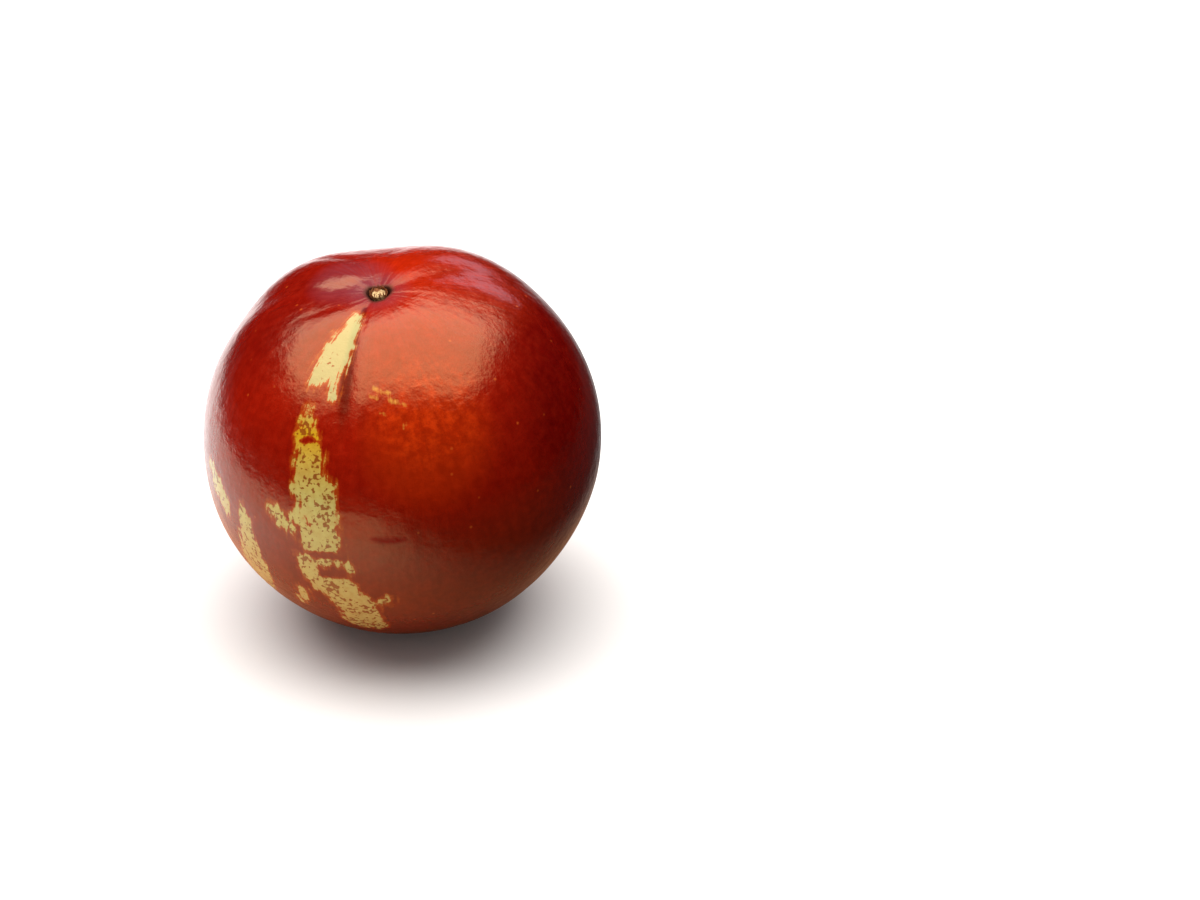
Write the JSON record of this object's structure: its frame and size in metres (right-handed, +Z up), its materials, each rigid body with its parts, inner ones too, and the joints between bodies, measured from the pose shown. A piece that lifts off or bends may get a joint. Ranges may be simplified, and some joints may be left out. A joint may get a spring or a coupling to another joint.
{
  "type": "jujube fruit",
  "caption": "Whole round ripe fruit with a shallow bowl and pit at the stem end, the broken stub of its stalk in the pit, and a small flat spot to rest on.",
  "frame": {"origin": "on the flat spot that the fruit rests on, straight under the middle of its round form", "axes": "+Z up from the surface that it stands on; -Y is the front, which the picture shows; the stem axis leans 8.4 degrees to the front and 5.3 degrees to the left (-X)"},
  "size_m": [0.0398, 0.0398, 0.0378],
  "materials": {
    "ripe_skin": "waxy gloss, mahogany red with pale yellow patches",
    "dry_stalk": "dry, matte, broken end"
  },
  "bodies": {
    "root": {"fruit": "ripe_skin", "stalk_stub": "dry_stalk"}
  },
  "joints": []
}
